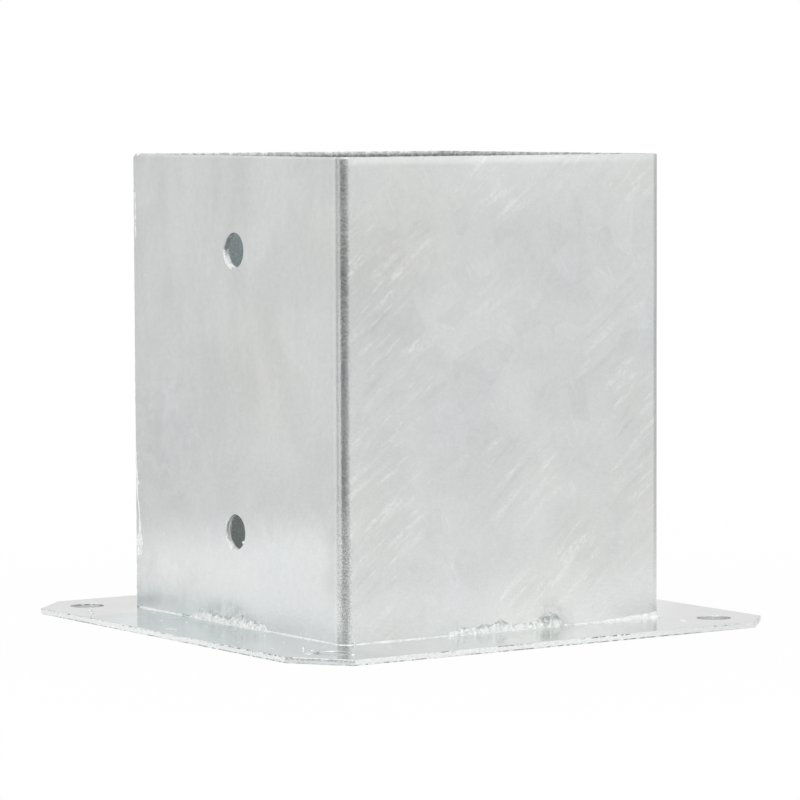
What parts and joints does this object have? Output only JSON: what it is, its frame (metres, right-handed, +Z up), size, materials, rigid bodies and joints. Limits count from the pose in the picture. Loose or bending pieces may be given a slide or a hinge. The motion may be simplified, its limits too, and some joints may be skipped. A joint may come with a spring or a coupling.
{
  "type": "timber post base",
  "caption": "Bolt-down base for a square timber post: open-topped socket folded from galvanised sheet, welded onto a flat plate with cut corners and anchor holes.",
  "frame": {"origin": "centre of the foot plate's underside", "axes": "+Z up out of the open socket; X along the bolts through the post; -Y towards the blank wall seen on the picture's right"},
  "size_m": [0.18, 0.18, 0.152],
  "materials": {
    "galvanised_plate": "hot-dip galvanised, wet-looking and glossy, with zinc specks and burrs on the cut edges",
    "galvanised_sheet": "hot-dip galvanised, satin, with faint spangle, drain streaks and brighter rims",
    "galvanised_weld": "rough weld bead under a crusty zinc coat"
  },
  "bodies": {
    "root": {"foot_plate": "galvanised_plate", "socket": "galvanised_sheet", "foot_weld_front": "galvanised_weld", "foot_weld_right": "galvanised_weld", "foot_weld_back": "galvanised_weld", "foot_weld_left": "galvanised_weld", "seam_weld_lower": "galvanised_weld", "seam_weld_upper": "galvanised_weld"}
  },
  "joints": []
}
